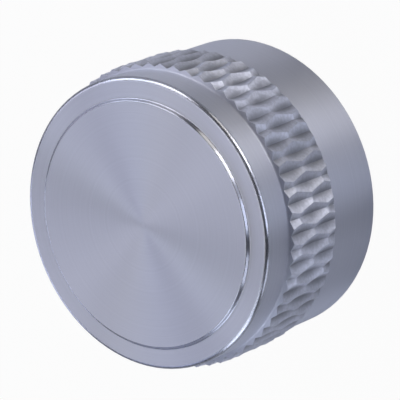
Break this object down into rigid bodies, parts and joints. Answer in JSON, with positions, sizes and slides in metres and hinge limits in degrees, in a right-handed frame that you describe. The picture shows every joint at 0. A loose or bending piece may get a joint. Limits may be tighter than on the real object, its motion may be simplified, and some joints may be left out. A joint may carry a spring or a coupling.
{
  "type": "reel brake knob",
  "caption": "Turned aluminium cap with a knurled band, a smooth rim and a raised front disc, threaded inside; it sets the brake of a fishing reel's spool.",
  "frame": {"origin": "centre of the mouth, on the surface that the knob stands on", "axes": "+Z along the knob's axis, from the open mouth to the front disc; -Y through the floor of one row of the knurl"},
  "size_m": [0.0176, 0.0176, 0.0103],
  "materials": {
    "aluminium": "bare turned aluminium, satin, with fine turning marks",
    "rubber": "smooth black nitrile rubber",
    "pad_plastic": "ivory acetal, matte",
    "bronze": "rolled bronze shim stock"
  },
  "bodies": {
    "root": {"knob_body": "aluminium", "friction_ring": "rubber", "brake_pad": "pad_plastic", "brake_shim": "bronze"}
  },
  "joints": []
}
